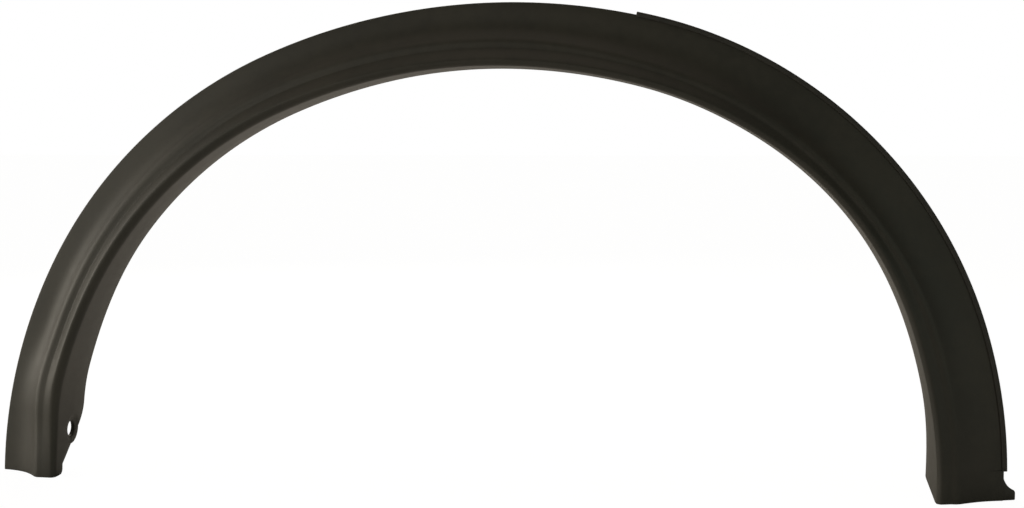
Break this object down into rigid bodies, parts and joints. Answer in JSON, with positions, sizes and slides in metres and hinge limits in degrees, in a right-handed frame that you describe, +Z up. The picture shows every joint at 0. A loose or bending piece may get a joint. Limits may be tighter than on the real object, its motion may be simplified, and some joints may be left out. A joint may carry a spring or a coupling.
{
  "type": "wheel arch trim",
  "caption": "One-piece moulded wheel arch trim with a stepped curved face, a return flange with a dished screw hole, hidden clip houses and a soft seal on part of its outer edge.",
  "frame": {"origin": "middle of the overall width, at foot level, in the plane of the vehicle's side panel", "axes": "+Z up through the crown, +X along the vehicle towards the sealed leg, -Y out of the show face, +Y behind the side panel"},
  "size_m": [0.8866, 0.06, 0.4145],
  "materials": {
    "moulding": "fine-grained satin, moulded-in dark grey",
    "seal": "smooth satin black"
  },
  "bodies": {
    "root": {"arch_moulding": "moulding", "edge_seal": "seal"}
  },
  "joints": []
}
